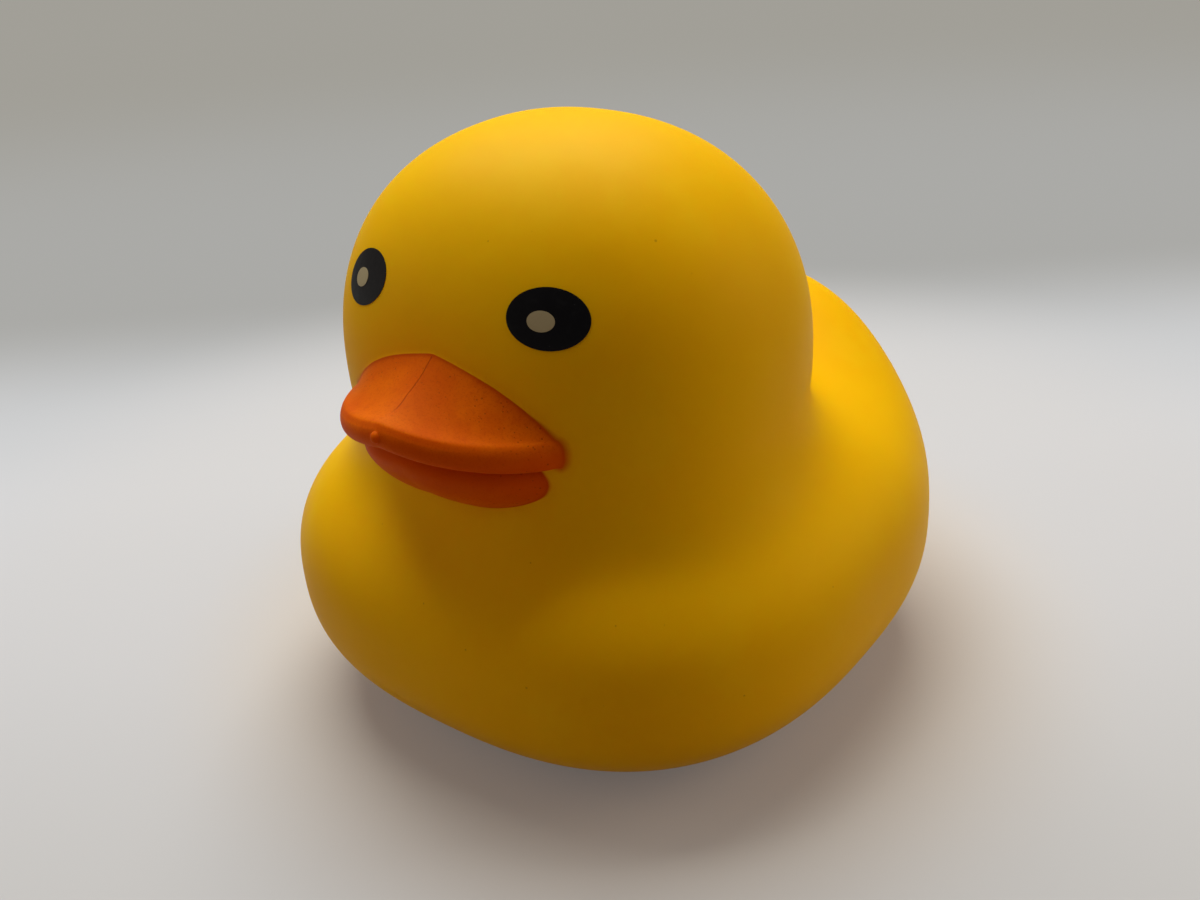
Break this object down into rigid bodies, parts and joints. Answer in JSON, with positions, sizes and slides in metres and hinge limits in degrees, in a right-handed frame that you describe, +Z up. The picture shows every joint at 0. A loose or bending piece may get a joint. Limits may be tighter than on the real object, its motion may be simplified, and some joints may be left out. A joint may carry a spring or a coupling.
{
  "type": "squishy duck",
  "caption": "Soft foam squeeze toy shaped as a sitting duck, with a round head, broad bill, upturned tail and a flat base to stand on.",
  "frame": {"origin": "on the flat base, under the middle of the duck's width and of its length from bill tip to tail", "axes": "the duck faces -Y, its tail points to +Y, its left side is +X, and +Z is up"},
  "size_m": [0.09, 0.0986, 0.0847],
  "materials": {
    "soft_foam": "satin"
  },
  "bodies": {
    "root": {"duck_body": "soft_foam"}
  },
  "joints": []
}
